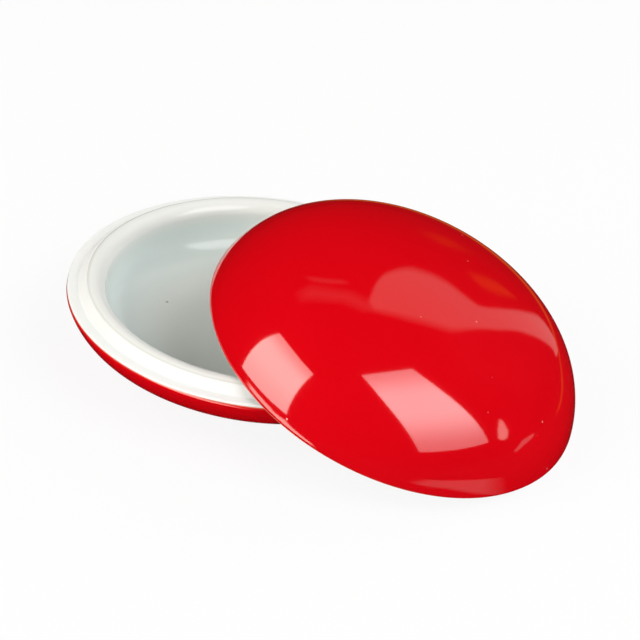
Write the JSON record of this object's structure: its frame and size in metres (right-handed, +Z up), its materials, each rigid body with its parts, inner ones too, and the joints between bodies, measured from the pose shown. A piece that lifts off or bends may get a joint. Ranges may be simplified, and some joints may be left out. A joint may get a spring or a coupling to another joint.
{
  "type": "seal paste box",
  "caption": "Round, flat ceramic box for seal paste: a shallow lipped bowl on a foot ring, with its low domed lid off and leaning on the rim.",
  "frame": {"origin": "centre of the footprint of bowl and lid together, on the table; the bowl's axis stands at x = -15.3 mm, y = 0", "axes": "+Z up, along the bowl's axis; +X the way in which the lid leans down, from the bowl's axis towards the lid's low edge"},
  "size_m": [0.1256, 0.095, 0.0409],
  "materials": {
    "bare_porcelain": "unglazed, ground smooth",
    "red_glaze": "high gloss",
    "pale_glaze": "gloss"
  },
  "bodies": {
    "bowl": {"bowl_body": "bare_porcelain", "bowl_outer_glaze": "red_glaze", "bowl_inner_glaze": "pale_glaze"},
    "lid": {"lid_body": "bare_porcelain", "lid_outer_glaze": "red_glaze", "lid_inner_glaze": "pale_glaze"}
  },
  "joints": [
    {"name": "lid_lift", "type": "slide", "parent": "bowl", "child": "lid", "axis": [0, 0, 1], "range_m": [0, 0.06]}
  ]
}
